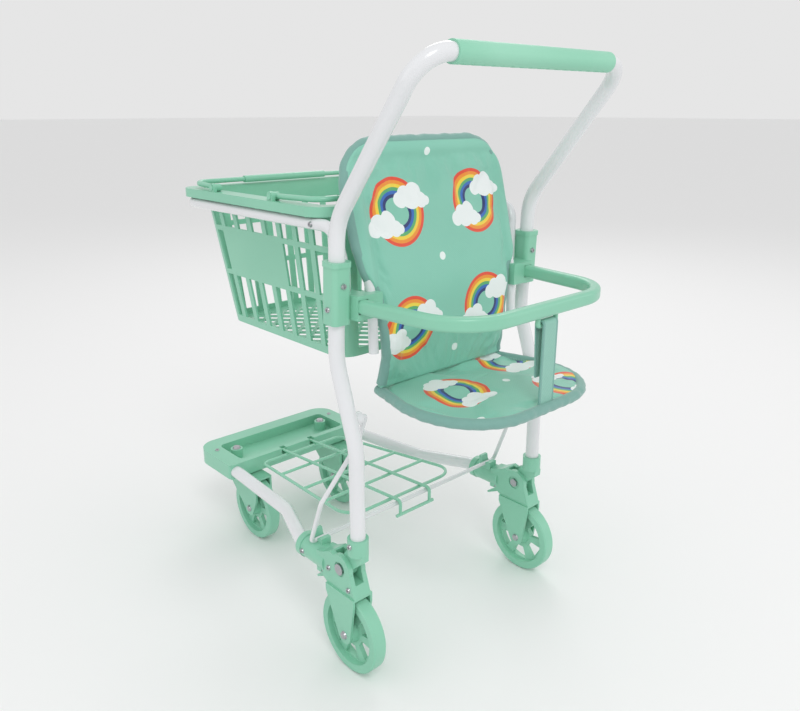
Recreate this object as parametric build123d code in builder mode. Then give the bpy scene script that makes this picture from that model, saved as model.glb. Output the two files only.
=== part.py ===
from build123d import *
import os
from math import cos, pi, radians, sin

# A toy shopping cart with a doll seat: a low base on four wheels, two bent legs that fold on the
# base's rear housings, a lift-out hand basket in a tube hoop, and a fabric doll seat behind it.
# Millimetres. +Z is up, +Y is the nose (basket side), -Y is the pusher's side, +X is the right side.
# The origin is on the floor, under the middle of the whole cart.

# ---------------------------------------------------------------- driving dimensions
tube_r = 8.0            # leg, rail and handle tube
tube_wall = 1.0
fit = 0.06              # gap round a tube in its socket or sleeve
running = 0.08          # gap between a pin and the piece that turns on it
leg_x = 141.0           # centre plane of each leg, rear housing and rear wheel

wheel_r = 44.5
wheel_width = 16.0
hub_half = 10.0
rear_axle_y = -127.5
axle_r = 2.5

fork_wall = 2.8
fork_gap = 20.4         # between the two cheeks of a fork
fork_top = 93.6         # the housings and the caster bosses stand on this level

fold_y, fold_z = -119.5, 119.0      # axis on which each leg folds
lobe_r = 16.0
housing_half = 11.0
tongue_half = 5.3
fold_bolt_r = 3.0
leg_foot_z = 146.0

leg_low_y = -137.5      # the leg's lower, upright run
knee_z, hip_z, shoulder_z = 256.0, 342.0, 478.0
hip_y, shoulder_y = -109.0, -114.5
handle_y, handle_z = -227.5, 622.0
handle_corner_r = 31.0
grip_half = 109.6
grip_r = 9.8

sleeve_low, sleeve_high = 380.0, 441.0
sleeve_half = 10.5
tube_joint_z = 410.0    # the leg tube and the handle tube meet inside the sleeve

arm_z = 397.0
arm_root_x, arm_root_y = 124.0, -118.0
arm_front_x, arm_front_y = 110.0, -252.5
arm_half_width, arm_half_height = 6.0, 7.0
loop_half, loop_z, loop_r = 13.5, 382.0, 2.5
strap_half, strap_thick = 11.0, 1.6

hoop_r = 6.0
hoop_x, hoop_z = 131.0, 470.0
hoop_rear_y, hoop_front_y = -97.0, 190.5
hoop_foot_x, hoop_foot_y = 124.0, -102.5

tray_half_x = 111.0
tray_rear_y, tray_front_y = 170.5, 262.5
tray_low, tray_high = 95.5, 116.0
tray_wall = 2.6
well_half_x, well_rear_y, well_front_y = 88.0, 179.5, 239.5
well_floor = 102.0
stem_x, stem_y = 73.0, 217.5
caster_trail = 48.0
stem_r = 3.0

rail_z, rail_tray_z = 112.0, 105.0  # rail height in the rear housing and in the tray
socket_r = 13.0
socket_mouth_y = -44.5

wire_r = 2.5            # brace
brace_y, brace_z = -67.5, 126.5
brace_low_x, brace_high_x = 150.0, 124.5
plug_y, plug_z = -127.5, 284.0
rod_r = 2.0             # rack
rack_hinge_y, rack_hinge_z = 175.5, 112.0
rack_hook_y, rack_hook_z = -73.4, 131.6
rod_x = 24.0

basket_top, basket_floor = 484.5, 322.0
basket_wall = 2.6
rim_top = 487.0
rim_half_x, rim_rear_y, rim_front_y = 139.0, -81.5, 198.5
bail_front_y, bail_rear_y = 120.5, 1.5
bail_x, bail_z = 130.0, 491.5

seat_tube_r, seat_tube_x = 5.0, 105.0
seat_half_x, seat_half_thick = 111.5, 7.0
seat_foot = (-123.0, 345.0)         # y, z
seat_bend = (-121.0, 400.0)
seat_head = (-82.5, 541.0)
pan_top, pan_thick = 302.0, 7.0
pan_front_y = -262.5

os.makedirs("parts", exist_ok=True)
SIDES = (("left", -1), ("right", 1))


# ---------------------------------------------------------------- helpers
def save(part, label):
    """Name a finished piece and write it as parts/<label>.step."""
    part.label = label
    export_step(part, f"parts/{label}.step")


def bar(points, radii, outer_r, inner_r=0, mode=Mode.ADD):
    """Inside a BuildPart: a round bar or tube along straight runs joined by tangent arcs."""
    with BuildLine() as path:
        if len(points) > 2:
            FilletPolyline(*points, radius=radii)
        else:
            Polyline(*points)
    with BuildSketch(Plane(origin=path.line @ 0, z_dir=path.line % 0)) as section:
        Circle(outer_r)
        if inner_r:
            Circle(inner_r, mode=Mode.SUBTRACT)
    sweep(section.sketch, path=path.line, mode=mode)


def rod(start, end, radius, mode=Mode.ADD):
    """Inside a BuildPart: a straight round bar from one point to another."""
    line = Vector(*end) - Vector(*start)
    with BuildSketch(Plane(origin=start, z_dir=line)) as section:
        Circle(radius)
    extrude(section.sketch, amount=line.length, mode=mode)


def plate(points, x_low, x_high, mode=Mode.ADD):
    """Inside a BuildPart: a flat plate whose outline is given as (y, z) points."""
    side_view = Plane(origin=(min(x_low, x_high), 0, 0), x_dir=(0, 1, 0), z_dir=(1, 0, 0))
    with BuildSketch(side_view) as outline:
        with BuildLine():
            Polyline(*points, close=True)
        make_face()
    extrude(outline.sketch, amount=abs(x_high - x_low), mode=mode)


def block(x_limits, y_limits, z_limits, mode=Mode.ADD):
    """Inside a BuildPart: a box given by its limits."""
    with BuildSketch(Plane.XY.offset(z_limits[0])) as outline:
        with Locations((sum(x_limits) / 2, sum(y_limits) / 2)):
            Rectangle(abs(x_limits[1] - x_limits[0]), y_limits[1] - y_limits[0])
    extrude(outline.sketch, amount=z_limits[1] - z_limits[0], mode=mode)


def screw(x, y, z, direction, shank=9.0, head_r=3.0, shank_r=1.2):
    """Inside a BuildPart: a pan-head cross screw; direction points out of its head."""
    out = Vector(*direction).normalized()
    seat = Vector(x, y, z)
    with BuildSketch(Plane(origin=seat, z_dir=out)) as head:
        Circle(head_r)
    extrude(head.sketch, amount=1.6, taper=20)
    with BuildSketch(Plane(origin=seat + out * 0.9, z_dir=out)) as cross:
        Rectangle(head_r, 0.8)
        Rectangle(0.8, head_r)
    extrude(cross.sketch, amount=1.0, mode=Mode.SUBTRACT)
    rod(tuple(seat + out * 0.2), tuple(seat - out * shank), shank_r)


def leg_path_y(z):
    """The leg centre line's y on the straight run through the sleeve."""
    return hip_y + (z - hip_z) * (shoulder_y - hip_y) / (shoulder_z - hip_z)


# ---------------------------------------------------------------- wheels, forks and axles
def make_wheel(x, y, label):
    """A one-piece moulded wheel: hub, thin web with six windows, and a smooth tread."""
    half = wheel_width / 2
    with BuildPart() as wheel:
        with BuildSketch(Plane(origin=(x, y, wheel_r), x_dir=(1, 0, 0), z_dir=(0, -1, 0))):
            with BuildLine():
                Polyline(
                    (-half, 35), (-half, wheel_r - 1.5), (-half + 1.5, wheel_r),
                    (half - 1.5, wheel_r), (half, wheel_r - 1.5), (half, 35), (2.5, 34),
                    (2.5, 12), (hub_half, 10.5), (hub_half, axle_r + running),
                    (-hub_half, axle_r + running), (-hub_half, 10.5), (-2.5, 12), (-2.5, 34),
                    close=True,
                )
            make_face()
        revolve(axis=Axis((x, y, wheel_r), (1, 0, 0)))
        with BuildSketch(Plane(origin=(x - 4, y, wheel_r), x_dir=(0, 1, 0), z_dir=(1, 0, 0))):
            with PolarLocations(23.5, 6, start_angle=30):
                Trapezoid(22, 15, 68, rotation=90)
        extrude(amount=8, mode=Mode.SUBTRACT)
    save(wheel.part, label)


def make_axle(x, y):
    """Inside a BuildPart: an axle bolt with a domed head on each side of a fork."""
    reach = fork_gap / 2 + fork_wall
    rod((x - reach, y, wheel_r), (x + reach, y, wheel_r), axle_r)
    for side in (-1, 1):
        with BuildSketch(Plane(origin=(x + side * reach, y, wheel_r), z_dir=(side, 0, 0))) as head:
            Circle(4.6)
        extrude(head.sketch, amount=2.0, taper=25)


def fork_body(x, y_rear, y_front, axle_y, front_low, rear_low):
    """Inside a BuildPart: a top plate and two tapered cheeks that carry one wheel."""
    outer = fork_gap / 2 + fork_wall
    block((x - outer, x + outer), (y_rear, y_front), (fork_top - fork_wall, fork_top))
    for side in (-1, 1):
        near, far = x + side * fork_gap / 2, x + side * outer
        plate([(y_rear, fork_top), (y_front, fork_top), (y_front, front_low),
               (axle_y + 9.5, wheel_r - 3), (axle_y, wheel_r - 9.0), (axle_y - 9.5, wheel_r - 3),
               (y_rear, rear_low)], near, far)
        rod((near, axle_y, wheel_r), (far, axle_y, wheel_r), 9.8)
    rod((x - outer - 1, axle_y, wheel_r), (x + outer + 1, axle_y, wheel_r), axle_r + 0.04,
        mode=Mode.SUBTRACT)


for name, s in SIDES:
    with BuildPart() as rear_fork:
        fork_body(s * leg_x, -143.5, -97.5, rear_axle_y, 86, 84)
    save(rear_fork.part, f"rear_fork_{name}")
    make_wheel(s * leg_x, rear_axle_y, f"rear_wheel_{name}")

    # The caster fork trails its wheel behind the stem and turns on it.
    wheel_y = stem_y - caster_trail
    with BuildPart() as caster_fork:
        fork_body(s * stem_x, wheel_y - 19, stem_y + 15, wheel_y, 90, 62)
        with BuildSketch(Plane.XY.offset(fork_top)):
            with Locations((s * stem_x, stem_y)):
                Circle(8.5)
        extrude(amount=tray_low - 0.15 - fork_top)
        rod((s * stem_x, stem_y, 88), (s * stem_x, stem_y, 96), stem_r + 0.04, mode=Mode.SUBTRACT)
    save(caster_fork.part, f"caster_fork_{name}")
    make_wheel(s * stem_x, wheel_y, f"caster_wheel_{name}")

    with BuildPart() as caster_stem:
        rod((s * stem_x, stem_y, fork_top - fork_wall), (s * stem_x, stem_y, 116.5), stem_r)
        with BuildSketch(Plane.XY.offset(115.2)):
            with Locations((s * stem_x, stem_y)):
                Circle(5.5)
        extrude(amount=2.4, taper=20)
    save(caster_stem.part, f"caster_stem_{name}")

    with BuildPart() as caster_axle:
        make_axle(s * stem_x, wheel_y)
    save(caster_axle.part, f"caster_axle_{name}")

with BuildPart() as rear_axles:
    for name, s in SIDES:
        make_axle(s * leg_x, rear_axle_y)
save(rear_axles.part, "rear_axles")


# ---------------------------------------------------------------- front tray
tray_mid_y = (tray_rear_y + tray_front_y) / 2
tray_depth = tray_front_y - tray_rear_y


def tray_outline(inset):
    """Inside a BuildSketch: the tray's outline, rounder at the nose, drawn in by an inset."""
    with BuildLine() as outline:
        x, rear, front = tray_half_x - inset, tray_rear_y + inset, tray_front_y - inset
        FilletPolyline((x, rear), (x, front), (-x, front), (-x, rear),
                       radius=[6 - inset / 2, 25 - inset, 25 - inset, 6 - inset / 2], close=True)
    make_face(outline.line)


with BuildPart() as tray:
    with BuildSketch(Plane.XY.offset(tray_low)):
        tray_outline(0)
    extrude(amount=tray_high - tray_low)
    with BuildSketch(Plane.XY.offset(tray_low)):
        tray_outline(tray_wall)
    extrude(amount=tray_high - tray_low - tray_wall, mode=Mode.SUBTRACT)
    well_y = (well_rear_y + well_front_y) / 2
    well_size = (2 * well_half_x, well_front_y - well_rear_y)
    with BuildSketch(Plane.XY.offset(well_floor - tray_wall)):
        with Locations((0, well_y)):
            RectangleRounded(well_size[0] + 2 * tray_wall, well_size[1] + 2 * tray_wall, 10)
    extrude(amount=tray_high - well_floor + tray_wall)
    with BuildSketch(Plane.XY.offset(well_floor)):
        with Locations((0, well_y)):
            RectangleRounded(*well_size, 8)
    extrude(amount=20, mode=Mode.SUBTRACT)
    for name, s in SIDES:
        # Stem post, rail socket, and the lug that takes one end of the rack.
        rod((s * stem_x, stem_y, tray_low), (s * stem_x, stem_y, 115), 8.5)
        block((s * 92.5, s * 110), (tray_rear_y + 1, 202), (tray_low, 115))
        block((s * (rod_x - 9), s * (rod_x + 9)), (tray_rear_y + 1, 178), (103, 115))
    for name, s in SIDES:
        rod((s * stem_x, stem_y, 90), (s * stem_x, stem_y, 120), stem_r + running,
            mode=Mode.SUBTRACT)
        rod((s * 101.5, tray_rear_y - 5, rail_tray_z), (s * 101.5, 198.2, rail_tray_z), tube_r + fit,
            mode=Mode.SUBTRACT)
        # The rack's ends swing in these pockets.
        block((s * rod_x - 4, s * rod_x + 4), (tray_rear_y - 3, well_rear_y - 1.0),
              (rack_hinge_z - 5, 120), mode=Mode.SUBTRACT)
        rod((s * (rod_x - 7), rack_hinge_y, rack_hinge_z),
            (s * (rod_x + 7), rack_hinge_y, rack_hinge_z), 1.5 + running,
            mode=Mode.SUBTRACT)
        rod((s * rod_x, 198.5, 95), (s * rod_x, 198.5, 105), 3, mode=Mode.SUBTRACT)
        rod((s * 98, 227.5, tray_low), (s * 98, 227.5, 114.5), 3.2)
        rod((s * 98, 227.5, 106), (s * 98, 227.5, 118), 1.3, mode=Mode.SUBTRACT)
save(tray.part, "tray")

with BuildPart() as tray_screws:
    for name, s in SIDES:
        screw(s * 98, 227.5, tray_high, (0, 0, 1))
save(tray_screws.part, "tray_screws")


# ---------------------------------------------------------------- rails and rear housings
housing_screws = [(leg_x + socket_r, -56, rail_z), (leg_x + housing_half, -101, 112),
                  (leg_x + housing_half, -134, 101)]
for name, s in SIDES:
    with BuildPart() as rail:
        bar([(s * 101.5, 198, rail_tray_z), (s * 101.5, 162, rail_tray_z), (s * 113, 34.5, 109),
             (s * leg_x, -36, rail_z), (s * leg_x, -78, rail_z)], [40, 60, 40],
            tube_r, tube_r - tube_wall)
    save(rail.part, f"rail_{name}")

    inner, outer = s * (leg_x - housing_half), s * (leg_x + housing_half)
    with BuildPart() as housing:
        plate([(-143.5, fork_top), (-97.5, fork_top), (-88, 99.5), (-80, 99.5), (-80, 124),
               (-88, 125), (-103.5, 133), (-112, 131), (-119.5, 119), (-135.5, 117)],
              inner, outer)
        rod((inner, fold_y, fold_z), (outer, fold_y, fold_z), lobe_r)
        rod((s * leg_x, -92, rail_z), (s * leg_x, socket_mouth_y, rail_z), socket_r)
        rod((s * leg_x, -52, rail_z), (s * leg_x, socket_mouth_y, rail_z), socket_r + 0.9)
        # Clip on the socket's back for the brace, with a raised front lip.
        plate([(-78, 115), (-59, 115), (-59, 136), (-62.5, 136), (-64, 129), (-71, 129),
               (-73, 131), (-78, 131)], s * 131, s * 143)
        # The leg's tongue turns in this slot.
        plate([(-150, 106), (-106, 106), (-106, 150), (-150, 150)],
              s * (leg_x - tongue_half - 0.1), s * (leg_x + tongue_half + 0.1),
              mode=Mode.SUBTRACT)
        rod((s * leg_x, -78.2, rail_z), (s * leg_x, -40, rail_z), tube_r + fit + 0.04,
            mode=Mode.SUBTRACT)
        rod((s * 125, brace_y, brace_z), (s * 157, brace_y, brace_z), wire_r + running,
            mode=Mode.SUBTRACT)
        plate([(brace_y - 2.4, brace_z), (brace_y + 2.4, brace_z), (brace_y + 2.8, 140),
               (brace_y - 2.8, 140)], s * 125, s * 145, mode=Mode.SUBTRACT)
        rod((s * 120, fold_y, fold_z), (s * 160, fold_y, fold_z), fold_bolt_r + 0.04,
            mode=Mode.SUBTRACT)
        for face in (inner, outer):
            rod((face, fold_y, fold_z), (face - (1.2 if face * s > leg_x else -1.2) * s, fold_y,
                 fold_z), 8, mode=Mode.SUBTRACT)
        # Pocket for the release lever.
        plate([(-97, 90), (-80.5, 90), (-80.5, 102.5), (-84, 106), (-90, 107.5), (-97, 107.5)],
              s * (leg_x - 4.3), s * (leg_x + 4.3), mode=Mode.SUBTRACT)
        rod((s * 125, -88.5, 102), (s * 157, -88.5, 102), 1.54, mode=Mode.SUBTRACT)
        for x, y, z in housing_screws:
            rod((s * (x - 3.6), y, z), (s * (x + 3), y, z), 1.24, mode=Mode.SUBTRACT)
    save(housing.part, f"rear_housing_{name}")

    with BuildPart() as lever:
        plate([(-93, 102.5), (-90, 104), (-87, 103.2), (-84, 100), (-83.4, 95.0), (-70, 85.8),
               (-70.5, 83.5), (-86, 91), (-92.5, 97.5)], s * (leg_x - 4), s * (leg_x + 4))
        rod((s * 130, -88.5, 102), (s * 152, -88.5, 102), 1.5 + running, mode=Mode.SUBTRACT)
    save(lever.part, f"lever_{name}")

with BuildPart() as lever_pins:
    for name, s in SIDES:
        rod((s * (leg_x - 10.5), -88.5, 102), (s * (leg_x + 10.5), -88.5, 102), 1.5)
save(lever_pins.part, "lever_pins")

with BuildPart() as fold_bolts:
    for name, s in SIDES:
        rod((s * (leg_x - 10), fold_y, fold_z), (s * (leg_x + 10), fold_y, fold_z), fold_bolt_r)
        for side in (-1, 1):
            face = s * leg_x + side * (housing_half - 1.2)
            with BuildSketch(Plane(origin=(face, fold_y, fold_z), z_dir=(side, 0, 0))):
                RegularPolygon(5.4, 6) if side == -s else Circle(6.2)
            extrude(amount=2.6)
save(fold_bolts.part, "fold_bolts")

with BuildPart() as base_screws:
    for name, s in SIDES:
        for x, y, z in housing_screws:
            screw(s * x, y, z, (s, 0, 0), shank=3.5)
save(base_screws.part, "base_screws")


# ---------------------------------------------------------------- brace and rack
with BuildPart() as brace:
    half = [(brace_high_x + 2.7, plug_y, plug_z), (brace_high_x, plug_y, plug_z),
            (brace_high_x, -114.5, 250), (brace_low_x, -91.7, 190), (brace_low_x, brace_y, brace_z)]
    half = [(brace_high_x + 2.7, plug_y, plug_z), (brace_high_x - 4.0, plug_y, plug_z),
            (brace_high_x - 4.0, -114.2, 249), (brace_low_x, -88.5, 181.5),
            (brace_low_x, brace_y, brace_z)]
    mirrored = [(-x, y, z) for x, y, z in reversed(half)]
    bar(half + mirrored, [3.2, 18, 18, 5.5, 5.5, 18, 18, 3.2], wire_r)
save(brace.part, "brace_wire")

with BuildPart() as rack:
    span = rack_hinge_y - rack_hook_y

    def rack_height(y):
        """Height of the rack's long rods, which run straight from the tray to the hook."""
        return rack_hinge_z + (rack_hook_z - rack_hinge_z) * (rack_hinge_y - y) / span

    for s in (-1, 1):
        bar([(s * rod_x, rack_hinge_y, rack_hinge_z), (s * rod_x, rack_hook_y, rack_hook_z),
             (s * rod_x, rack_hook_y, 112.5)], [5], rod_r)
        rod((s * (rod_x - 6.9), rack_hinge_y, rack_hinge_z),
            (s * (rod_x + 6.9), rack_hinge_y, rack_hinge_z), 1.5)
    rod((-rod_x - 6, rack_hook_y, 113.5), (rod_x + 6, rack_hook_y, 113.5), rod_r)
    low = 2 * rod_r - 0.6
    rear_z, front_z = rack_height(-55.5) - low, rack_height(160.5) - low
    for s in (-1, 1):
        bar([(0, -55.5, rear_z), (s * 88, -55.5, rear_z), (s * 66, 160.5, front_z),
             (0, 160.5, front_z)], [25, 10], rod_r)
    for y, reach in ((108.5, 71.3), (49.5, 77.3), (0.5, 82.3)):
        z = rack_height(y) - low
        rod((-reach, y, z), (reach, y, z), rod_r)
save(rack.part, "rack")


# ---------------------------------------------------------------- legs, sleeves and handle
for name, s in SIDES:
    with BuildPart() as leg_tube:
        bar([(s * leg_x, leg_low_y, leg_foot_z), (s * leg_x, leg_low_y, knee_z),
             (s * leg_x, hip_y, hip_z), (s * leg_x, leg_path_y(tube_joint_z), tube_joint_z)],
            [70, 80], tube_r, tube_r - tube_wall)
    save(leg_tube.part, f"leg_tube_{name}")

    with BuildPart() as leg_socket:
        with BuildSketch(Plane.XY.offset(141.6)):
            with Locations((s * leg_x, leg_low_y)):
                Circle(11)
        extrude(amount=18)
        plate([(-148, 143), (-126.5, 143), (-112.5, 126), (-110.0, 119), (-121, 109.5),
               (-129.5, 119), (-147.5, 135)],
              s * (leg_x - tongue_half), s * (leg_x + tongue_half))
        rod((s * (leg_x - tongue_half), fold_y, fold_z), (s * (leg_x + tongue_half), fold_y,
             fold_z), 10)
        rod((s * leg_x, leg_low_y, leg_foot_z), (s * leg_x, leg_low_y, 161), tube_r + fit,
            mode=Mode.SUBTRACT)
        rod((s * (leg_x + 8), leg_low_y, 153), (s * (leg_x + 14), leg_low_y, 153), 1.24,
            mode=Mode.SUBTRACT)
        rod((s * 130, fold_y, fold_z), (s * 152, fold_y, fold_z), fold_bolt_r + running,
            mode=Mode.SUBTRACT)
    save(leg_socket.part, f"leg_socket_{name}")

    # Sleeve over the tube joint, with the inboard block that holds armrest, hoop and seat frame.
    lean = Vector(0, leg_path_y(1) - leg_path_y(0), 1)
    with BuildPart() as sleeve:
        start = (s * leg_x, leg_path_y(sleeve_low), sleeve_low)
        with BuildSketch(Plane(origin=start, x_dir=(1, 0, 0), z_dir=lean)):
            RectangleRounded(2 * sleeve_half, 2 * sleeve_half, 5)
        extrude(amount=sleeve_high - sleeve_low)
        top = (s * leg_x, leg_path_y(sleeve_high - 5), sleeve_high - 5)
        with BuildSketch(Plane(origin=top, x_dir=(1, 0, 0), z_dir=lean)):
            RectangleRounded(2 * sleeve_half + 1.6, 2 * sleeve_half + 1.6, 5.5)
        extrude(amount=5)
        block((s * 99.5, s * 131.5), (-131, -115), (384, 408))
        block((s * 114, s * 131.5), (-116, -95), (384, 408))
        rod((s * 118, -101, 428), (s * 131.5, -101, 428), 4.5)
        block((s * 118, s * 131.5), (-105.5, -96.5), (405, 428))
        bar([(s * hoop_foot_x, hoop_foot_y, 392), (s * hoop_foot_x, hoop_foot_y, 428),
             (s * hoop_x, hoop_rear_y, hoop_z)], [30], hoop_r + fit, mode=Mode.SUBTRACT)
        block((s * (arm_root_x - arm_half_width - fit), s * (arm_root_x + arm_half_width + fit)),
              (-140, arm_root_y + 0.1),
              (arm_z - arm_half_height - fit, arm_z + arm_half_height + fit), mode=Mode.SUBTRACT)
        bar([(s * seat_tube_x, *seat_foot), (s * seat_tube_x, *seat_bend),
             (s * seat_tube_x, *seat_head)], [120], seat_tube_r + fit, mode=Mode.SUBTRACT)
        rod((s * leg_x, leg_path_y(370), 370), (s * leg_x, leg_path_y(450), 450), tube_r + fit,
            mode=Mode.SUBTRACT)
        rod((s * leg_x, -130, 418), (s * leg_x, leg_path_y(418), 418), 1.24, mode=Mode.SUBTRACT)
        rod((s * leg_x, leg_path_y(395), 395), (s * 157, leg_path_y(395), 395), 1.24,
            mode=Mode.SUBTRACT)
        rod((s * 100, hoop_foot_y, 400), (s * 120, hoop_foot_y, 400), 1.24, mode=Mode.SUBTRACT)
    save(sleeve.part, f"sleeve_{name}")

with BuildPart() as handle_tube:
    foot = (leg_path_y(tube_joint_z), tube_joint_z)
    side = [foot, (shoulder_y, shoulder_z), (handle_y, handle_z)]
    bar([(-leg_x, y, z) for y, z in side] + [(leg_x, y, z) for y, z in reversed(side)],
        [60, handle_corner_r, handle_corner_r, 60], tube_r, tube_r - tube_wall)
save(handle_tube.part, "handle_tube")

with BuildPart() as handle_grip:
    rod((-grip_half, handle_y, handle_z), (grip_half, handle_y, handle_z), grip_r)
    rod((-grip_half, handle_y, handle_z), (grip_half, handle_y, handle_z), tube_r + fit,
        mode=Mode.SUBTRACT)
    # Finger ridges along the underside.
    for i in range(17):
        x = (i - 8) * 12.4
        rod((x, handle_y - 12, handle_z - grip_r - 3.0), (x, handle_y + 12, handle_z - grip_r - 3.0),
            4.0, mode=Mode.SUBTRACT)
save(handle_grip.part, "handle_grip")

with BuildPart() as brace_plugs:
    for name, s in SIDES:
        rod((s * (brace_high_x + 3.0), plug_y, plug_z), (s * (leg_x - 5), plug_y, plug_z), 6.5)
        bar([(s * leg_x, leg_low_y, leg_foot_z), (s * leg_x, leg_low_y, knee_z),
             (s * leg_x, hip_y, hip_z), (s * leg_x, leg_path_y(360), 360)], [70, 80],
            tube_r + 0.02, mode=Mode.SUBTRACT)
save(brace_plugs.part, "brace_plugs")

with BuildPart() as leg_screws:
    for name, s in SIDES:
        screw(s * (leg_x + 11), leg_low_y, 153, (s, 0, 0), shank=2.5)
        screw(s * leg_x, leg_path_y(418) - sleeve_half - 0.25, 418, (0, -1, 0), shank=2)
        screw(s * (leg_x + sleeve_half), leg_path_y(395), 395, (s, 0, 0), shank=2)
save(leg_screws.part, "leg_screws")


# ---------------------------------------------------------------- armrest, strap and hoop
with BuildPart() as armrest:
    half = [(arm_root_x, arm_root_y, arm_z), (arm_root_x, arm_root_y - 14, arm_z),
            (arm_front_x, arm_front_y, arm_z)]
    mirrored = [(-x, y, z) for x, y, z in reversed(half)]
    with BuildLine() as arm_path:
        FilletPolyline(*(half + mirrored), radius=[40, 55, 55, 40])
    with BuildSketch(Plane(origin=arm_path.line @ 0, x_dir=(1, 0, 0), z_dir=arm_path.line % 0)):
        RectangleRounded(2 * arm_half_width, 2 * arm_half_height, 4)
    sweep(path=arm_path.line)
    # Wire loop below the front bar for the crotch strap.
    bar([(-loop_half, arm_front_y, arm_z - 5), (-loop_half, arm_front_y, loop_z),
         (loop_half, arm_front_y, loop_z), (loop_half, arm_front_y, arm_z - 5)], [3, 3], loop_r)
save(armrest.part, "armrest")

with BuildPart() as strap:
    with BuildSketch(Plane(origin=(-strap_half, 0, 0), x_dir=(0, 1, 0), z_dir=(1, 0, 0))):
        with BuildLine() as strap_line:
            FilletPolyline((arm_front_y - 3.5, pan_top), (arm_front_y - 4.6, 386.8),
                           (arm_front_y + 4.6, 386.8), (arm_front_y + 2.5, 330), radius=3.4)
        trace(line_width=strap_thick)
    extrude(amount=2 * strap_half)
    block((-20, 20), (-270, -240), (295, pan_top), mode=Mode.SUBTRACT)
save(strap.part, "crotch_strap")

with BuildPart() as hoop:
    half = [(hoop_foot_x, hoop_foot_y, 392.1), (hoop_foot_x, hoop_foot_y, 428),
            (hoop_x, hoop_rear_y, hoop_z), (hoop_x, hoop_front_y, hoop_z)]
    mirrored = [(-x, y, z) for x, y, z in reversed(half)]
    bar(half + mirrored, [30, 18, 18, 18, 18, 30], hoop_r, hoop_r - tube_wall)
    for s in (-1, 1):
        rod((s * (hoop_x + 4), -67.5, hoop_z), (s * (hoop_x + 8), -67.5, hoop_z), 1.24,
            mode=Mode.SUBTRACT)
save(hoop.part, "basket_hoop")

with BuildPart() as hoop_screws:
    for name, s in SIDES:
        screw(s * 114.0, hoop_foot_y, 400, (-s, 0, 0), shank=3.8)
        screw(s * (hoop_x + hoop_r), -67.5, hoop_z, (s, 0, 0), shank=0.8)
save(hoop_screws.part, "hoop_screws")


# ---------------------------------------------------------------- basket and bails
def basket_shell(inset, low, high, mode=Mode.ADD):
    """Inside a BuildPart: the basket's tapered body, drawn in by an inset, between two heights."""
    corners = []
    for z in (low, high):
        t = (z - basket_floor) / (basket_top - basket_floor)
        half_x = 98 + 23 * t - inset
        rear = -64.5 - 13 * t + inset
        front = 163 + 17.5 * t - inset
        with BuildSketch(Plane.XY.offset(z)) as level:
            with Locations((0, (rear + front) / 2)):
                RectangleRounded(2 * half_x, front - rear, 20 - inset)
        corners.append(level.sketch)
    loft(corners, mode=mode)


def wall_windows(columns, cut):
    """Cut the window rows of one pair of walls; columns are (low edge, high edge) pairs of
    (position at the floor, position at the top), and a solid panel is kept where asked."""
    for (low_a, high_a), (low_b, high_b), solid in columns:
        for z_low, z_high in ((331, 384), (390, 438), (444, 463)):
            if solid and z_low == 390:
                continue
            at = [(z - 331) / 132 for z in (z_low, z_high)]
            cut([(low_a + (high_a - low_a) * at[0], z_low), (low_b + (high_b - low_b) * at[0], z_low),
                 (low_b + (high_b - low_b) * at[1], z_high),
                 (low_a + (high_a - low_a) * at[1], z_high)])


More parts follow.
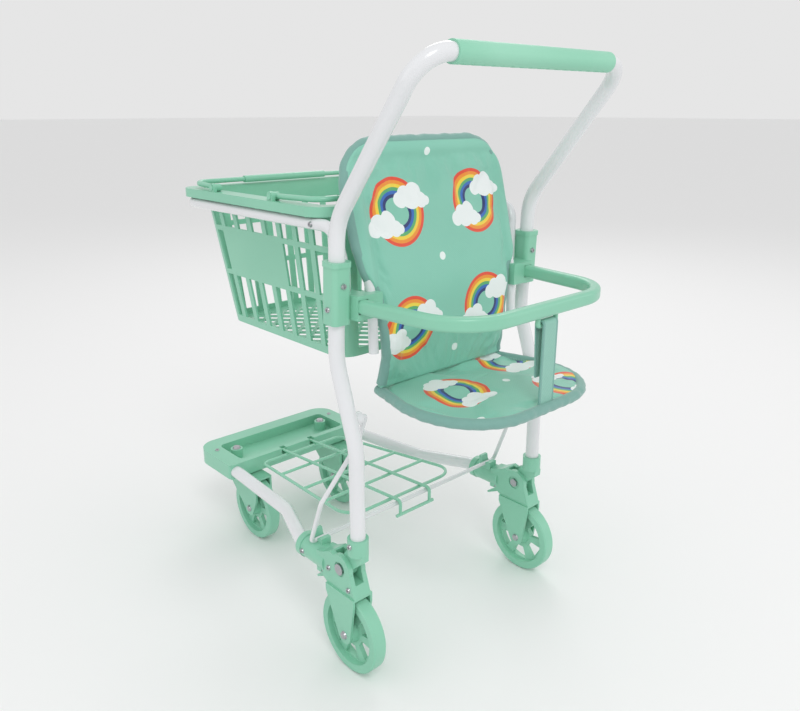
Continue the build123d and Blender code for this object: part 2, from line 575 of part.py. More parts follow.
with BuildPart() as basket:
    basket_shell(0, basket_floor, rim_top)
    basket_shell(basket_wall, basket_floor + basket_wall, rim_top + 1, mode=Mode.SUBTRACT)
    # Rim: a top flange over the hoop with a short outer skirt and cross ribs.
    rim_y, rim_depth = (rim_rear_y + rim_front_y) / 2, rim_front_y - rim_rear_y
    for z_low, z_high, inset in ((477, rim_top, 0), (basket_top - 0.1, rim_top, 1.5)):
        with BuildSketch(Plane.XY.offset(z_low)):
            with Locations((0, rim_y)):
                RectangleRounded(2 * rim_half_x, rim_depth, 22)
                if inset == 0:
                    RectangleRounded(2 * rim_half_x - 5, rim_depth - 5, 19.5, mode=Mode.SUBTRACT)
                else:
                    RectangleRounded(240.6, 254, 19, mode=Mode.SUBTRACT)
        extrude(amount=z_high - z_low)
    for y in (-60, -20, 30, 75, 150):
        for s in (-1, 1):
            block((s * 119.5, s * 137.5), (y - 1.2, y + 1.2), (476.2, basket_top + 0.5))
    for x in (-80, -40, 0, 40, 80):
        block((x - 1.2, x + 1.2), (178.5, 197), (476.2, basket_top + 0.5))
    # Bars and bands of the side walls, with the flat middle panel.
    bars = [(130 - 27 * i, 140.5 - 30 * i) for i in range(8)]
    side_columns = [((bars[i + 1][0] + 4, bars[i + 1][1] + 4), (bars[i][0] - 4, bars[i][1] - 4),
                     i in (0, 1, 2, 3)) for i in range(7)]
    side_columns.append(((134, 144.5), (143, 158), False))
    wall_windows(side_columns, lambda outline: plate(outline, -130, 130, mode=Mode.SUBTRACT))

    def end_cut(outline):
        """A window through the front and rear walls; the outline is in (x, z)."""
        front_view = Plane(origin=(0, 190, 0), x_dir=(1, 0, 0), z_dir=(0, -1, 0))
        with BuildSketch(front_view) as window:
            with BuildLine():
                Polyline(*outline, close=True)
            make_face()
        extrude(window.sketch, amount=280, mode=Mode.SUBTRACT)

    posts = [(27 * (i - 3), 30 * (i - 3)) for i in range(7)]
    wall_windows([((posts[i][0] + 4, posts[i][1] + 4), (posts[i + 1][0] - 4, posts[i + 1][1] - 4),
                   False) for i in range(6)], end_cut)
    # Diamond lattice in the floor.
    with BuildSketch(Plane.XY.offset(basket_floor - 2)):
        with Locations((0, 49)):
            with GridLocations(25, 25, 7, 8):
                Rectangle(14, 14, rotation=45)
            with GridLocations(25, 25, 6, 7):
                Rectangle(14, 14, rotation=45)
    extrude(amount=8, mode=Mode.SUBTRACT)
    # Lugs that carry the bails.
    for s in (-1, 1):
        for y in (bail_front_y, bail_rear_y):
            block((s * 134, s * 138), (y - 5, y + 5), (rim_top - 0.5, 491.5))
            rod((s * 134, y, bail_z), (s * 138, y, bail_z), 5)
            rod((s * 130, y, bail_z), (s * 139, y, bail_z), 2.04, mode=Mode.SUBTRACT)
save(basket.part, "basket")


def make_bail(pivot_y, cross_y, cross_z, label):
    """A U-shaped basket handle: an eye on each end, plain arms and a thicker grip."""
    with BuildPart() as bail:
        toward = 1 if cross_y > pivot_y else -1
        bar([(-bail_x, pivot_y + toward * 3, bail_z), (-bail_x, cross_y, cross_z),
             (bail_x, cross_y, cross_z), (bail_x, pivot_y + toward * 3, bail_z)], [16, 16], 2.9)
        rod((-62, cross_y, cross_z), (62, cross_y, cross_z), 4.2)
        for s in (-1, 1):
            rod((s * 127.2, pivot_y, bail_z), (s * 133.6, pivot_y, bail_z), 4.4)
        for s in (-1, 1):
            rod((s * 127, pivot_y, bail_z), (s * 134, pivot_y, bail_z), 2.0 + running,
                mode=Mode.SUBTRACT)
    save(bail.part, label)


make_bail(bail_front_y, 175.5, 493.5, "bail_front")
make_bail(bail_rear_y, -72.5, 493.5, "bail_rear")

with BuildPart() as bail_pins:
    for s in (-1, 1):
        for y in (bail_front_y, bail_rear_y):
            rod((s * 126.8, y, bail_z), (s * 138.4, y, bail_z), 2.0)
            rod((s * 138.05, y, bail_z), (s * 139.2, y, bail_z), 3.2)
            rod((s * 126.0, y, bail_z), (s * 127.1, y, bail_z), 3.2)
save(bail_pins.part, "bail_pins")


# ---------------------------------------------------------------- doll seat
with BuildPart() as seat_frame:
    side = [seat_foot, seat_bend, seat_head]
    bar([(-seat_tube_x, y, z) for y, z in side] + [(seat_tube_x, y, z) for y, z in reversed(side)],
        [120, 40, 40, 120], seat_tube_r, seat_tube_r - tube_wall)
save(seat_frame.part, "seat_frame")

with BuildPart() as seat_back:
    # Side view of the padded back, then trimmed to its outline seen from the front.
    with BuildSketch(Plane(origin=(-130, 0, 0), x_dir=(0, 1, 0), z_dir=(1, 0, 0))):
        with BuildLine():
            FilletPolyline((-113, 290), (-123.3, 338), seat_bend, (-79.5, 553), radius=[60, 120])
        trace(line_width=2 * seat_half_thick)
    extrude(amount=260)
    with BuildSketch(Plane(origin=(0, -200, 0), x_dir=(1, 0, 0), z_dir=(0, -1, 0))):
        with BuildLine():
            FilletPolyline((0, pan_top), (86, pan_top), (87, 345), (seat_half_x - 12, 410),
                           (seat_half_x - 2, 450), (seat_half_x, 549), (-seat_half_x, 549),
                           (2 - seat_half_x, 450), (12 - seat_half_x, 410), (-87, 345),
                           (-86, pan_top), radius=[0, 3, 30, 20, 60, 45, 45, 60, 20, 30, 3],
                           close=True)
        make_face()
    extrude(amount=-300, mode=Mode.INTERSECT)
    side = [seat_foot, seat_bend, seat_head]
    bar([(-seat_tube_x, y, z) for y, z in side] + [(seat_tube_x, y, z) for y, z in reversed(side)],
        [120, 40, 40, 120], seat_tube_r + 0.3, mode=Mode.SUBTRACT)
    for s in (-1, 1):
        block((s * 99.2, s * 135), (-140, -100), (383.7, 408.3), mode=Mode.SUBTRACT)
save(seat_back.part, "seat_back")

with BuildPart() as seat_pan:
    with BuildSketch(Plane.XY.offset(pan_top - pan_thick)):
        with BuildLine():
            FilletPolyline((86, -107), (110, -165), (100, pan_front_y),
                           (-100, pan_front_y), (-110, -165), (-86, -107),
                           radius=[10, 30, 62, 62, 30, 10], close=True)
        make_face()
    extrude(amount=pan_thick)
    fillet(seat_pan.edges().filter_by(GeomType.LINE, reverse=True).group_by(Axis.Z)[0], 2)
save(seat_pan.part, "seat_pan")
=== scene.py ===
# %% [markdown]
# A toy shopping cart with a doll seat. The tubes, wheels, basket and every joint are already
# solid, exact pieces in the frame. This script gives them their finishes, and sews the doll
# seat out of cloth: a padded back, a padded seat board, stitched binding and webbing.

# %% load the frame
import math

import bpy
import numpy as np
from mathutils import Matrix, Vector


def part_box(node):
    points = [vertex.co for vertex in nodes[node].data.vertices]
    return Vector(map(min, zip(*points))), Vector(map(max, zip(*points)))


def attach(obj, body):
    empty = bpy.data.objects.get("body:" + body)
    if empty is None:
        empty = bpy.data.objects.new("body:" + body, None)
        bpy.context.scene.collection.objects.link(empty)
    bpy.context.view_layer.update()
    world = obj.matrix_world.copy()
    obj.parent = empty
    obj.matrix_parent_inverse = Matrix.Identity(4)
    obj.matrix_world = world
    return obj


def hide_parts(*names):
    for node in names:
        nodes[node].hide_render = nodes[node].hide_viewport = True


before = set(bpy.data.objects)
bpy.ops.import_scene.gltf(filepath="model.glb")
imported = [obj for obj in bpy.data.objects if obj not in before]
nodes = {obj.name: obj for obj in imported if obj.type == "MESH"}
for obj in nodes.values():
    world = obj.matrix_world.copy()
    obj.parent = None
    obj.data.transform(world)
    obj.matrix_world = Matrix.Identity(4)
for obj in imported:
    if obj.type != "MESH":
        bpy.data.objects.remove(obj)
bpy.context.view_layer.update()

# %% [markdown]
# The camera stands behind the cart, to its left and a little above the basket. A small vertical
# shift keeps the upright legs upright while the cart sits a touch low in the picture.

# %% camera
CAMERA_PLACE = (-0.5705, -0.6716, 0.5784)
CAMERA_TURN, CAMERA_TILT = 42.51, -15.85
LENS = 34.26
SHIFT_X, SHIFT_Y = -0.002, -0.0385
NEAR_CLIP = 0.01


def place_camera():
    """A camera that looks along a turn from +Y towards +X and a tilt from level, in degrees."""
    turn, tilt = math.radians(CAMERA_TURN), math.radians(CAMERA_TILT)
    bpy.ops.object.camera_add(location=CAMERA_PLACE,
                              rotation=(math.pi / 2 + tilt, 0.0, -turn))
    camera = bpy.context.object
    camera.name = "camera"
    camera.data.lens = LENS
    camera.data.shift_x, camera.data.shift_y = SHIFT_X, SHIFT_Y
    camera.data.clip_start = NEAR_CLIP
    bpy.context.scene.camera = camera


place_camera()
print("camera set, lens", LENS)

# %% [markdown]
# Soft light: one large lamp high behind the viewer, one on each side, and a pale world. Big
# lamps give the gloss plastic long, soft reflections and leave no hard shadow on the floor.


# %% lights and floor
def area_lamp(name, place, aim, size, power):
    """A square lamp at a place, turned to shine on a point."""
    direction = np.array(aim) - np.array(place)
    tilt = math.atan2(math.hypot(direction[0], direction[1]), -direction[2])
    turn = math.atan2(direction[1], direction[0]) - math.pi / 2
    bpy.ops.object.light_add(type="AREA", location=place, rotation=(tilt, 0, turn))
    lamp = bpy.context.object
    lamp.name = name
    lamp.data.size = size
    lamp.data.energy = power


CENTRE = (0.0, 0.0, 0.3)
area_lamp("key_lamp", (-0.9, -1.6, 2.1), CENTRE, 0.9, 14.5)
area_lamp("fill_lamp", (-2.2, 0.4, 1.0), CENTRE, 1.2, 2.2)
area_lamp("rim_lamp", (1.5, 1.3, 1.8), CENTRE, 1.0, 7.5)
area_lamp("side_lamp", (1.6, -1.5, 0.9), CENTRE, 1.0, 2.4)

WORLD_STRENGTH = 0.79
world = bpy.data.worlds.new("pale_room")
bpy.context.scene.world = world
world.use_nodes = True
background = world.node_tree.nodes["Background"]
background.inputs["Color"].default_value = (1, 1, 1, 1)
background.inputs["Strength"].default_value = WORLD_STRENGTH
bpy.context.scene.view_settings.view_transform = "Standard"

FLOOR_SIZE, FLOOR_DROP = 90, 0.0005
bpy.ops.object.select_all(action="DESELECT")
bpy.ops.mesh.primitive_plane_add(size=FLOOR_SIZE, location=(0, 0, -FLOOR_DROP))
floor = bpy.context.object
floor.name = "floor"
floor_paint = bpy.data.materials.new("pale_floor")
floor_paint.use_nodes = True
floor_shader = floor_paint.node_tree.nodes["Principled BSDF"]
floor_shader.inputs["Base Color"].default_value = (0.9, 0.9, 0.9, 1)
floor_shader.inputs["Roughness"].default_value = 0.9
floor.data.materials.append(floor_paint)
print("four lamps and a floor")

# %% [markdown]
# Shader maths reads best as arithmetic, so a small class wraps a socket and turns + - * and
# comparisons into Math nodes. Everything else comes from one method that adds any node.


# %% shader maths
COLOR_A, COLOR_B, COLOR_RESULT = 6, 7, 2    # a Mix node's colour sockets


class Sum:
    """A number that changes over the surface, and the arithmetic that can be done with it."""

    def __init__(self, tree, socket):
        self.tree, self.socket = tree, socket

    def math(self, operation, other=None):
        node = self.tree.nodes.new("ShaderNodeMath")
        node.operation = operation
        for slot, value in enumerate((self, other)):
            if isinstance(value, Sum):
                self.tree.links.new(value.socket, node.inputs[slot])
            elif value is not None:
                node.inputs[slot].default_value = value
        return Sum(self.tree, node.outputs[0])

    def __add__(self, other):
        return self.math("ADD", other)

    def __sub__(self, other):
        return self.math("SUBTRACT", other)

    def __mul__(self, other):
        return self.math("MULTIPLY", other)

    def __gt__(self, other):
        return self.math("GREATER_THAN", other)

    def __lt__(self, other):
        return self.math("LESS_THAN", other)

    def clamp(self):
        """The number, held between 0 and 1."""
        return self.math("MAXIMUM", 0.0).math("MINIMUM", 1.0)

    def either(self, other):
        """Both marks together, where each is 1 inside its shape and 0 outside."""
        return self.math("MAXIMUM", other)


class Finish:
    """A material with one Principled shader, and helpers to add what varies over its surface."""

    def __init__(self, name, color, roughness=0.4, **settings):
        self.material = bpy.data.materials.new(name)
        self.material.use_nodes = True
        self.tree = self.material.node_tree
        self.shader = self.tree.nodes["Principled BSDF"]
        self.shader.inputs["Base Color"].default_value = (*color, 1)
        self.shader.inputs["Roughness"].default_value = roughness
        for socket, value in settings.items():
            self.shader.inputs[socket.replace("_", " ")].default_value = value
        self.material.diffuse_color = (*color, 1)
        coordinates = self.add("ShaderNodeTexCoord")
        self.place, self.uv = coordinates.outputs["Object"], coordinates.outputs["UV"]

    def add(self, kind, **inputs):
        """A new node with its inputs set, each to a value, a Sum or another node's socket."""
        node = self.tree.nodes.new(kind)
        for name, value in inputs.items():
            socket = node.inputs[name.replace("_", " ")]
            if isinstance(value, Sum):
                value = value.socket
            if isinstance(value, bpy.types.NodeSocket):
                self.tree.links.new(value, socket)
            else:
                socket.default_value = value
        return node

    def axes(self, socket=None):
        """The three coordinates of a place, or of the UV map, as Sums."""
        node = self.add("ShaderNodeSeparateXYZ", Vector=socket or self.place)
        return [Sum(self.tree, output) for output in node.outputs]

    def noise(self, scale, detail=2.0):
        node = self.add("ShaderNodeTexNoise", Vector=self.place, Scale=scale, Detail=detail)
        return Sum(self.tree, node.outputs["Fac"])

    def mix(self, factor, first, second):
        """A colour between two colours, each a colour tuple or a socket."""
        node = self.tree.nodes.new("ShaderNodeMix")
        node.data_type = "RGBA"
        self.tree.links.new(factor.socket, node.inputs[0])
        for slot, value in ((COLOR_A, first), (COLOR_B, second)):
            if isinstance(value, bpy.types.NodeSocket):
                self.tree.links.new(value, node.inputs[slot])
            else:
                node.inputs[slot].default_value = (*value, 1)
        return node.outputs[COLOR_RESULT]

    def feed(self, socket, value):
        """Join a Sum or a socket to one of the shader's inputs."""
        value = value.socket if isinstance(value, Sum) else value
        self.tree.links.new(value, self.shader.inputs[socket])

    def bump(self, height, strength, distance=0.001):
        node = self.add("ShaderNodeBump", Height=height, Strength=strength, Distance=distance)
        self.feed("Normal", node.outputs["Normal"])


def paint(material, *names):
    """Give CAD nodes or pieces one material."""
    for name in names:
        thing = nodes[name] if name in nodes else bpy.data.objects[name]
        thing.data.materials.clear()
        thing.data.materials.append(material)


print("shader helpers ready")

# %% [markdown]
# Moulded plastic is never quite flat: a faint waviness shows in its highlights, and its colour
# is a little uneven. Both come from slow noise, with a coat for the gloss.

# %% plastics and paints
MINT = (0.27, 0.62, 0.445)
MINT_DEEP = (0.235, 0.57, 0.405)
WHITE = (0.80, 0.81, 0.83)


def moulded(name, color, shade, roughness, coat=0.25, wave=0.05):
    """A moulded or painted surface that wavers between two close colours."""
    finish = Finish(name, color, roughness, Coat_Weight=coat, Coat_Roughness=0.12)
    slow = finish.noise(9.0)
    finish.feed("Base Color", finish.mix(((slow - 0.35) * 2.2).clamp(), shade, color))
    finish.feed("Roughness", finish.noise(55.0) * 0.12 + (roughness - 0.06))
    finish.bump(finish.noise(120.0) * 0.6 + finish.noise(900.0) * 0.12, wave)
    return finish.material


mint_plastic = moulded("mint_plastic", MINT, MINT_DEEP, 0.34)
mint_wheel = moulded("mint_wheel", (0.29, 0.64, 0.465), MINT_DEEP, 0.42, coat=0.1)
mint_paint = moulded("mint_paint", (0.29, 0.635, 0.455), MINT, 0.26, coat=0.5, wave=0.03)
white_paint = moulded("white_paint", WHITE, (0.76, 0.77, 0.79), 0.22, coat=0.6, wave=0.03)
soft_grip = moulded("soft_grip", (0.35, 0.695, 0.525), MINT, 0.5, coat=0.0, wave=0.16)
zinc = moulded("zinc", (0.50, 0.50, 0.52), (0.44, 0.44, 0.46), 0.3, coat=0.0)
zinc.node_tree.nodes["Principled BSDF"].inputs["Metallic"].default_value = 1.0

FINISHES = (
    (mint_plastic, "armrest basket tray bail_front bail_rear bail_pins lever_left lever_right"),
    (mint_plastic, "rear_housing_left rear_housing_right rear_fork_left rear_fork_right"),
    (mint_plastic, "caster_fork_left caster_fork_right leg_socket_left leg_socket_right"),
    (mint_plastic, "sleeve_left sleeve_right"),
    (mint_wheel, "rear_wheel_left rear_wheel_right caster_wheel_left caster_wheel_right"),
    (white_paint, "handle_tube leg_tube_left leg_tube_right rail_left rail_right basket_hoop"),
    (white_paint, "seat_frame brace_wire brace_plugs"),
    (mint_paint, "rack"),
    (soft_grip, "handle_grip"),
    (zinc, "base_screws caster_axle_left caster_axle_right caster_stem_left caster_stem_right"),
    (zinc, "fold_bolts hoop_screws leg_screws lever_pins rear_axles tray_screws"),
)
for material, names in FINISHES:
    paint(material, *names.split())
print("finishes on", sum(len(names.split()) for material, names in FINISHES), "nodes")

# %% [markdown]
# The seat cloth is a satin-faced polyester, printed with rainbows whose ends rest on clouds,
# with small white dots between. A rainbow is rings of colour round a centre: the distance from
# that centre picks the ring, and a few overlapping circles at each end make a cloud.

# %% printed cloth
CLOTH = (0.235, 0.57, 0.445)
BANDS = ((0.80, 0.075, 0.035), (0.88, 0.30, 0.03), (0.90, 0.66, 0.06), (0.10, 0.42, 0.16),
         (0.03, 0.14, 0.50), (0.02, 0.035, 0.16))
PALE_BLOTCH, DEEP_BLOTCH = (0.265, 0.60, 0.475), (0.21, 0.54, 0.415)
CLOUD_WHITE, DOT_WHITE = (0.86, 0.90, 0.90), (0.84, 0.90, 0.88)
RING_OUTER, RING_INNER = 0.034, 0.0135
RING_MIDDLE = (RING_OUTER + RING_INNER) / 2
BAND_WIDTH = (RING_OUTER - RING_INNER) / len(BANDS)
DOT_RADIUS = 0.0042
THREADS = 2400.0        # radians of weave in each metre
CLOUD_PUFFS = ((0.0, 0.0, 0.0115), (0.0125, -0.003, 0.0080), (-0.0125, -0.002, 0.0078),
               (0.005, 0.006, 0.0088), (-0.006, 0.004, 0.0080), (0.019, -0.004, 0.0048))


def printed_cloth(name, across, along, motifs, dots):
    """Cloth printed on the plane of two object axes. A motif is (across, along, turn in
    degrees); a dot is (across, along)."""
    finish = Finish(name, CLOTH, 0.42, Sheen_Weight=0.25, Sheen_Roughness=0.4)
    axes = finish.axes()
    u, v = axes[across], axes[along]

    def distance_from(cx, cy):
        du, dv = u - cx, v - cy
        return (du * du + dv * dv).math("SQRT")

    color = finish.mix(finish.noise(14.0).clamp(), DEEP_BLOTCH, PALE_BLOTCH)
    for cx, cy, turn in motifs:
        distance = distance_from(cx, cy)
        for index, band in enumerate(BANDS):
            outer = RING_OUTER - index * BAND_WIDTH
            ring = (distance < outer) * (distance > outer - BAND_WIDTH)
            color = finish.mix(ring, color, band)
        for half_turn in (math.pi, 0.0):
            angle = math.radians(turn) + half_turn
            ex = cx + RING_MIDDLE * math.cos(angle)
            ey = cy + RING_MIDDLE * math.sin(angle)
            cloud = None
            for px, py, radius in CLOUD_PUFFS:
                puff_mark = distance_from(ex + px, ey + py) < radius
                cloud = puff_mark if cloud is None else cloud.either(puff_mark)
            color = finish.mix(cloud, color, CLOUD_WHITE)
    for cx, cy in dots:
        color = finish.mix(distance_from(cx, cy) < DOT_RADIUS, color, DOT_WHITE)
    finish.feed("Base Color", color)
    weave = (u * THREADS).math("SINE") * (v * THREADS).math("SINE")
    finish.bump(weave * 0.25 + finish.noise(38.0, 4.0) * 1.4, 0.22)
    finish.feed("Roughness", finish.noise(30.0) * 0.2 + 0.32)
    return finish.material


back_print = printed_cloth(
    "back_print", 0, 2,
    motifs=((-0.057, 0.479, 32), (0.056, 0.482, 38), (-0.058, 0.362, 30), (0.054, 0.371, 35)),
    dots=((-0.003, 0.536), (-0.006, 0.430), (0.012, 0.327)))
pan_print = printed_cloth(
    "pan_print", 0, 1,
    motifs=((-0.040, -0.176, 100), (0.078, -0.140, 80), (0.060, -0.236, 95)),
    dots=((-0.070, -0.235), (0.020, -0.190)))

TRIM, THREAD = (0.19, 0.39, 0.34), (0.32, 0.55, 0.49)
STITCHES, STITCH_HALF = 1400.0, 0.07
trim = Finish("binding_cloth", TRIM, 0.6, Sheen_Weight=0.3)
along_trim, across_trim, _ = trim.axes(trim.uv)
dashes = (along_trim * STITCHES).math("SINE") > -0.2
stitch = dashes * ((across_trim - 0.5).math("ABSOLUTE") < STITCH_HALF)
trim.feed("Base Color", trim.mix(stitch, TRIM, THREAD))
trim.bump(trim.noise(700.0) * 0.5 + stitch * 0.6, 0.4)
binding_cloth = trim.material

WEB_EDGE = 0.0085       # beyond this the selvedge is darker
web = Finish("webbing", (0.30, 0.56, 0.52), 0.65, Sheen_Weight=0.2)
web_x, _, web_z = web.axes()
rib = (web_x * 2600.0).math("SINE") * (web_z * 1800.0).math("SINE")
selvedge = web_x.math("ABSOLUTE") > WEB_EDGE
web.feed("Base Color", web.mix(selvedge, (0.27, 0.56, 0.46), (0.19, 0.42, 0.36)))
web.bump(rib * 0.6, 0.5)
paint(web.material, "crotch_strap")
print("printed cloth, binding and webbing ready")

# %% [markdown]
# Every cloth piece starts as a flat grid whose points are moved onto its real shape: the grid's
# own two coordinates, each from 0 to 1, say where a point lies along and across the piece. The
# same two numbers become its UV map, so stitches can follow a seam.


# %% cloth helpers
CLOTH_FRAMES = 20


def only(thing):
    """Select one object and nothing else."""
    bpy.ops.object.select_all(action="DESELECT")
    thing.select_set(True)
    bpy.context.view_layer.objects.active = thing


def shaped_grid(name, along_count, across_count, shape, body):
    """A grid of points moved by shape(along, across) to a place in metres."""
    bpy.ops.object.select_all(action="DESELECT")
    bpy.ops.mesh.primitive_grid_add(x_subdivisions=along_count, y_subdivisions=across_count,
                                    size=1, location=(0, 0, 0), calc_uvs=True)
    piece = bpy.context.object
    piece.name = name
    piece.data.name = name
    for vertex in piece.data.vertices:
        vertex.co = shape(vertex.co.x + 0.5, vertex.co.y + 0.5)
    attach(piece, body)
    return piece


def apply_modifier(piece, kind, **settings):
    """Add a modifier with its settings and apply it to the mesh."""
    only(piece)
    modifier = piece.modifiers.new(kind.title(), kind)
    for name, value in settings.items():
        setattr(modifier, name, value)
    bpy.ops.object.modifier_apply(modifier=modifier.name)


def puff(piece, pinned, pressure, cap):
    """Cloth simulation with inner pressure. pinned(co) says which points the seams hold, and
    no point ends up further than the cap from where it started."""
    rest = np.array([v.co for v in piece.data.vertices])
    group = piece.vertex_groups.new(name="seams")
    group.add([i for i, co in enumerate(rest) if pinned(co)], 1.0, "REPLACE")
    only(piece)
    cloth = piece.modifiers.new("Cloth", "CLOTH")
    cloth.settings.vertex_group_mass = "seams"
    cloth.settings.use_pressure = True
    cloth.settings.uniform_pressure_force = pressure
    cloth.settings.shrink_min = -0.035
    cloth.settings.effector_weights.gravity = 0
    cloth.settings.tension_stiffness = 12
    cloth.settings.bending_stiffness = 0.08
    cloth.settings.quality = 5
    cloth.point_cache.frame_end = CLOTH_FRAMES
    for step in range(1, CLOTH_FRAMES + 1):
        bpy.context.scene.frame_set(step)
    evaluated = piece.evaluated_get(bpy.context.evaluated_depsgraph_get())
    moved = np.array([v.co for v in evaluated.data.vertices])
    piece.modifiers.clear()
    bpy.context.scene.frame_set(1)
    shift = moved - rest
    length = np.linalg.norm(shift, axis=1, keepdims=True)
    shift *= np.minimum(1.0, cap / np.maximum(length, 1e-9))
    for vertex, place in zip(piece.data.vertices, rest + shift):
        vertex.co = place
    largest = float(np.linalg.norm(shift, axis=1).max())
    print(piece.name, "puffed by up to", round(largest * 1000, 1), "mm")


def soften(piece, material):
    """Smooth a piece's shading and give it its material."""
    only(piece)
    bpy.ops.object.shade_smooth()
    piece.data.materials.append(material)


def smooth_path(corners, count):
    """Points at even steps along a run of corners, in metres."""
    corners = np.array(corners, float)
    steps = np.linalg.norm(np.diff(corners, axis=0), axis=1)
    reach = np.concatenate(([0], np.cumsum(steps)))
    at = np.linspace(0, reach[-1], count)
    return np.stack([np.interp(at, reach, corners[:, k]) for k in range(corners.shape[1])], 1)


print("cloth helpers ready")

# %% [markdown]
# The padded back: two layers of cloth over thin wadding, with a pocket for the frame tube down
# each side and across the top. Its side view leans back like the tube, and its outline narrows
# to a waist above the seat and rounds off at the top. Pressure inside, with the seams held,
# gives the puckers.

# %% seat back
back_low, back_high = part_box("seat_back")
BACK_BOTTOM, BACK_TOP = back_low.z + 0.001, back_high.z - 0.001
LEAN_Z = (0.300, 0.338, 0.400, 0.546)
LEAN_Y = (-0.1143, -0.1225, -0.1207, -0.0825)
LEAN_BLEND = 0.02
WIDTH_Z = (0.307, 0.335, 0.365, 0.40, 0.425, 0.46, 0.55)
HALF_WIDTHS = (0.0925, 0.0895, 0.0925, 0.0985, 0.1110, 0.1140, 0.1155)
TOP_RADIUS = 0.046
SEAM = 0.004            # width of a sewn edge


def back_y(z):
    """The middle of the back's thickness, seen from the side, smoothed at its bends."""
    nearby = np.linspace(z - LEAN_BLEND, z + LEAN_BLEND, 9)
    return float(np.mean(np.interp(nearby, LEAN_Z, LEAN_Y)))


def back_half_width(z):
    """Half the back's width at a height, with the round corners at the top."""
    half = float(np.interp(z, WIDTH_Z, HALF_WIDTHS))
    over = max(0.0, z - (BACK_TOP - TOP_RADIUS))
    return half - TOP_RADIUS + math.sqrt(max(0.0, TOP_RADIUS ** 2 - over ** 2))


def drift(z):
    """The cloth was sewn a little off centre: it hangs towards the left above the arm bar."""
    return -0.003 * min(1.0, max(0.0, (z - 0.42) / 0.03))


def back_surface(along, across):
    z = BACK_BOTTOM + along * (BACK_TOP - BACK_BOTTOM)
    side = 2 * across - 1
    x = side * back_half_width(z)
    sag = 0.0025 * (1 - side ** 2) * math.sin(math.pi * min(1.0, along * 1.05))
    return (x + drift(z), back_y(z) + sag, z)


back = shaped_grid("seat_back_cloth", 72, 76, back_surface, "upper_frame")
apply_modifier(back, "SOLIDIFY", thickness=0.0088, offset=0.0)

TUBE_RADIUS, TUBE_BEND, TUBE_X = 0.005, 0.03, 0.105
TUBE_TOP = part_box("seat_frame")[1].z - TUBE_RADIUS
POCKET_LOW, POCKET_REACH, POCKET_FLATNESS = 0.410, 0.0106, 0.68
POCKET_SEAM = 0.012     # how far inside the tube's middle the pocket is sewn


def over_tube(vertex):
    """Lift the cloth over the frame tube where the tube runs inside its pocket."""
    x, y, z = vertex.co
    sideways = max(0.0, abs(x) - TUBE_X + TUBE_BEND) - TUBE_BEND
    away = math.hypot(sideways, max(0.0, z - TUBE_TOP))
    if z > TUBE_TOP - TUBE_BEND and abs(x) < TUBE_X - TUBE_RADIUS:
        away = abs(z - TUBE_TOP)
    if z < POCKET_LOW or away > POCKET_REACH:
        return
    middle = back_y(z)
    swell = math.sqrt(max(0.0, POCKET_REACH ** 2 - away ** 2)) * POCKET_FLATNESS
    if abs(y - middle) < swell:
        vertex.co.y = middle + math.copysign(swell, y - middle)


for vertex in back.data.vertices:
    over_tube(vertex)


def back_seam(co):
    """Whether sewing holds a point of the back: its edges and the tube's pocket."""
    x, _, z = co
    at_side = back_half_width(z) - abs(x - drift(z)) < SEAM
    by_tube = abs(x) > TUBE_X - POCKET_SEAM or z > TUBE_TOP - POCKET_SEAM
    in_pocket = z > POCKET_LOW and by_tube
    return at_side or in_pocket or z > BACK_TOP - SEAM or z < BACK_BOTTOM + SEAM


puff(back, back_seam, pressure=1.4, cap=0.0045)
apply_modifier(back, "SUBSURF", levels=1, render_levels=1)
soften(back, back_print)
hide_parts("seat_back")
print("seat back", len(back.data.polygons), "faces")

# %% [markdown]
# The seat board: a stiffened, padded flap of the same cloth, hung from the back's lower edge and
# the crotch strap. It is widest a third of the way out and has a broad round front.

# %% seat pan
pan_low, pan_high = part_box("seat_pan")
PAN_REAR, PAN_FRONT = pan_high.y, pan_low.y + 0.0015
PAN_MIDDLE = (pan_low.z + pan_high.z) / 2
PAN_LENGTH = PAN_FRONT - PAN_REAR
PAN_ALONG = (0, 0.12, 0.38, 0.55, 1.0)
PAN_HALF_WIDTHS = (0.0915, 0.0950, 0.1060, 0.1070, 0.1030)
PAN_ROUND = 0.064       # how much of the half width the round front takes away


def pan_half_width(along):
    """Half the board's width, from its rear edge at 0 to its front at 1."""
    straight = float(np.interp(along, PAN_ALONG, PAN_HALF_WIDTHS))
    over = max(0.0, (along - 0.50) / 0.50)
    return straight - PAN_ROUND + PAN_ROUND * math.sqrt(max(0.0, 1 - over ** 2.4))


def pan_surface(along, across):
    side = 2 * across - 1
    y = PAN_REAR + along * PAN_LENGTH
    wave = 0.0012 * math.sin(9 * along + 3 * side) * side ** 2
    return (side * pan_half_width(along), y, PAN_MIDDLE + wave)


pan = shaped_grid("seat_pan_cloth", 46, 56, pan_surface, "upper_frame")
apply_modifier(pan, "SOLIDIFY", thickness=0.0058, offset=0.0)


def pan_seam(co):
    """Whether sewing holds a point of the board: its whole edge."""
    along = (co[1] - PAN_REAR) / PAN_LENGTH
    return pan_half_width(along) - abs(co[0]) < SEAM or along > 0.97 or along < 0.03


puff(pan, pan_seam, pressure=0.8, cap=0.0025)
apply_modifier(pan, "SUBSURF", levels=1, render_levels=1)
soften(pan, pan_print)
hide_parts("seat_pan")
print("seat pan", len(pan.data.polygons), "faces")

# %% [markdown]
# A folded strip of darker cloth binds the raw edges of both pieces. Sewing gathers it a little,
# so its outer edge wavers, and a row of stitches runs down its middle.


# %% binding
STRIP_STEPS, STRIP_SIDES = 420, 12
STRIP_HALF_THICK = 0.0056


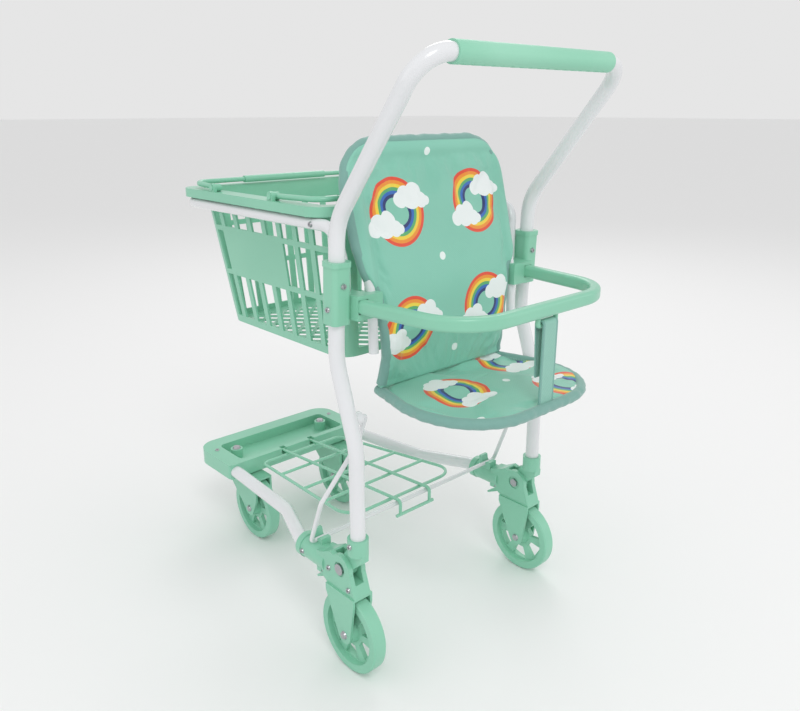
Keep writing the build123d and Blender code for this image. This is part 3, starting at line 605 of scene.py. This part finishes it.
def binding(name, edge, middle, half_depth, seed):
    """A folded strip sewn round an edge: a tube of flat oval section along a path, whose
    folded side faces away from the middle."""
    path = smooth_path(edge, STRIP_STEPS)
    tangent = np.gradient(path, axis=0)
    tangent /= np.linalg.norm(tangent, axis=1, keepdims=True)
    out = path - middle
    side = np.cross(tangent, out)
    side /= np.linalg.norm(side, axis=1, keepdims=True)
    out = np.cross(side, tangent)
    phases = np.random.default_rng(seed).uniform(0, 6.28, 4)

    def section(along, across):
        at = min(STRIP_STEPS - 1, int(round(along * (STRIP_STEPS - 1))))
        angle = 2 * math.pi * across
        folded = max(0.0, math.cos(angle))
        ripple = (0.00030 * math.sin(along * 150 + phases[0])
                  + 0.00022 * math.sin(along * 263 + phases[1]))
        lift = 0.00045 * math.sin(along * 190 + phases[2]) * folded
        reach = half_depth * math.cos(angle) + ripple * folded
        thick = STRIP_HALF_THICK * math.sin(angle) * (1 - 0.12 * folded)
        return tuple(path[at] + out[at] * reach + side[at] * (thick + lift))

    strip = shaped_grid(name, STRIP_STEPS - 1, STRIP_SIDES, section, "upper_frame")
    apply_modifier(strip, "WELD", merge_threshold=0.00002)
    soften(strip, binding_cloth)
    print(name, len(strip.data.polygons), "faces")


BACK_INSET, PAN_INSET = 0.003, 0.0035       # the path of a strip inside the cloth's edge

rows = np.linspace(BACK_BOTTOM + 0.004, BACK_TOP - 0.0002, 60)
left_back = [(drift(z) - back_half_width(z) + BACK_INSET, back_y(z), z) for z in rows]
right_back = [(drift(z) + back_half_width(z) - BACK_INSET, back_y(z), z)
              for z in reversed(rows)]
BACK_CENTRE = np.array((0, -0.105, 0.43))
binding("back_binding", left_back + right_back, BACK_CENTRE, 0.0052, 3)

# The steps crowd together towards the round front, where the edge turns fastest.
steps = np.concatenate((np.linspace(0.02, 0.6, 20), 1 - 0.4 * np.linspace(1, 0, 40) ** 2))
left_pan = [(PAN_INSET - pan_half_width(a), PAN_REAR + a * (PAN_LENGTH + 0.003), PAN_MIDDLE)
            for a in steps]
right_pan = [(-x, y, z) for x, y, z in reversed(left_pan)]
PAN_CENTRE = np.array((0, (PAN_REAR + PAN_FRONT) / 2, PAN_MIDDLE))
binding("pan_binding", left_pan + right_pan, PAN_CENTRE, 0.0056, 5)

# %% [markdown]
# The script ends here.

# %% end
print("done")
